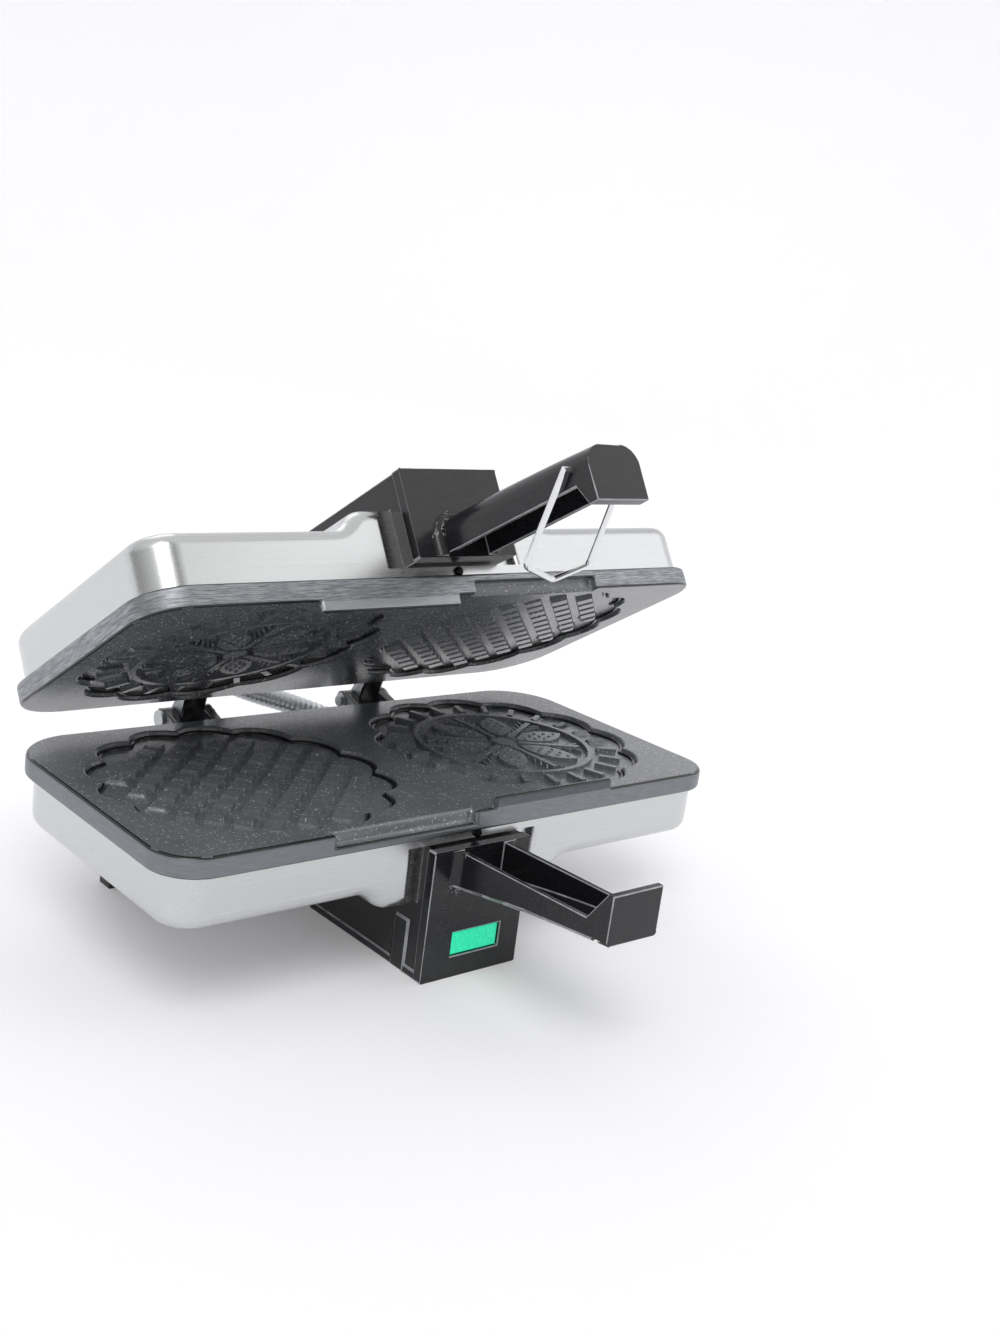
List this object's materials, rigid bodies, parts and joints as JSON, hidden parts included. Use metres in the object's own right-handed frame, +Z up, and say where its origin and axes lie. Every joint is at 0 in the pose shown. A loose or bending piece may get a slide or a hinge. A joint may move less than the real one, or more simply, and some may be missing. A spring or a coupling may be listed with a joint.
{
  "type": "pizzelle maker",
  "caption": "Two-biscuit pizzelle maker: patterned grid plates hinged at the back in steel shells, channel handles with a wire bail latch, signal lamp and rear stand, lid propped open.",
  "frame": {"origin": "centre of the plan of the whole object as drawn with its lid propped open, on the surface it stands on", "axes": "+X to the right seen from the front, +Y to the back, +Z up"},
  "size_m": [0.28, 0.2606, 0.2225],
  "materials": {
    "nonstick_casting": "dark grey speckled nonstick coating, satin",
    "brushed_shell": "satin stainless sheet",
    "black_moulding": "glossy heat-proof moulding",
    "green_lens": "clear green, lit from behind",
    "lamp_glass": "clear neon lamp on its holder",
    "element_sheath": "oxidised sheath",
    "control_body": "ceramic-like body",
    "plated_steel": "zinc-plated steel",
    "bush_metal": "plated conduit bush",
    "bright_conduit": "bright ribbed metal conduit",
    "black_stand": "satin heat-proof moulding",
    "chromed_wire": "bright plated wire"
  },
  "bodies": {
    "base": {"lower_grid_plate": "nonstick_casting", "lower_shell": "brushed_shell", "lower_handle": "black_moulding", "signal_lens": "green_lens", "signal_lamp": "lamp_glass", "lower_handle_screws": "plated_steel", "lower_heating_element": "element_sheath", "lower_element_clamps": "plated_steel", "thermostat": "control_body", "thermal_fuse": "plated_steel", "rear_stand": "black_stand", "rear_stand_screws": "plated_steel", "left_hinge_pin": "plated_steel", "right_hinge_pin": "plated_steel", "hinge_pin_clips": "plated_steel", "lower_lead_bush": "bush_metal", "mains_inlet_bush": "black_stand", "armoured_lead": "bright_conduit"},
    "lid": {"upper_grid_plate": "nonstick_casting", "upper_shell": "brushed_shell", "upper_handle": "black_moulding", "upper_handle_screws": "plated_steel", "upper_heating_element": "element_sheath", "upper_element_clamps": "plated_steel", "upper_lead_bush": "bush_metal"},
    "bail": {"wire_bail": "chromed_wire"}
  },
  "joints": [
    {"name": "lid_hinge", "type": "hinge", "parent": "base", "child": "lid", "pos_m": [0, 0.10835, 0.0668], "axis": [-1, 0, 0], "range_deg": [-32.6, 62.4], "deforming": ["armoured_lead"]},
    {"name": "bail_pivot", "type": "hinge", "parent": "lid", "child": "bail", "pos_m": [0, -0.07775, 0.21217], "axis": [-1, 0, 0], "range_deg": [-24, 299]}
  ]
}
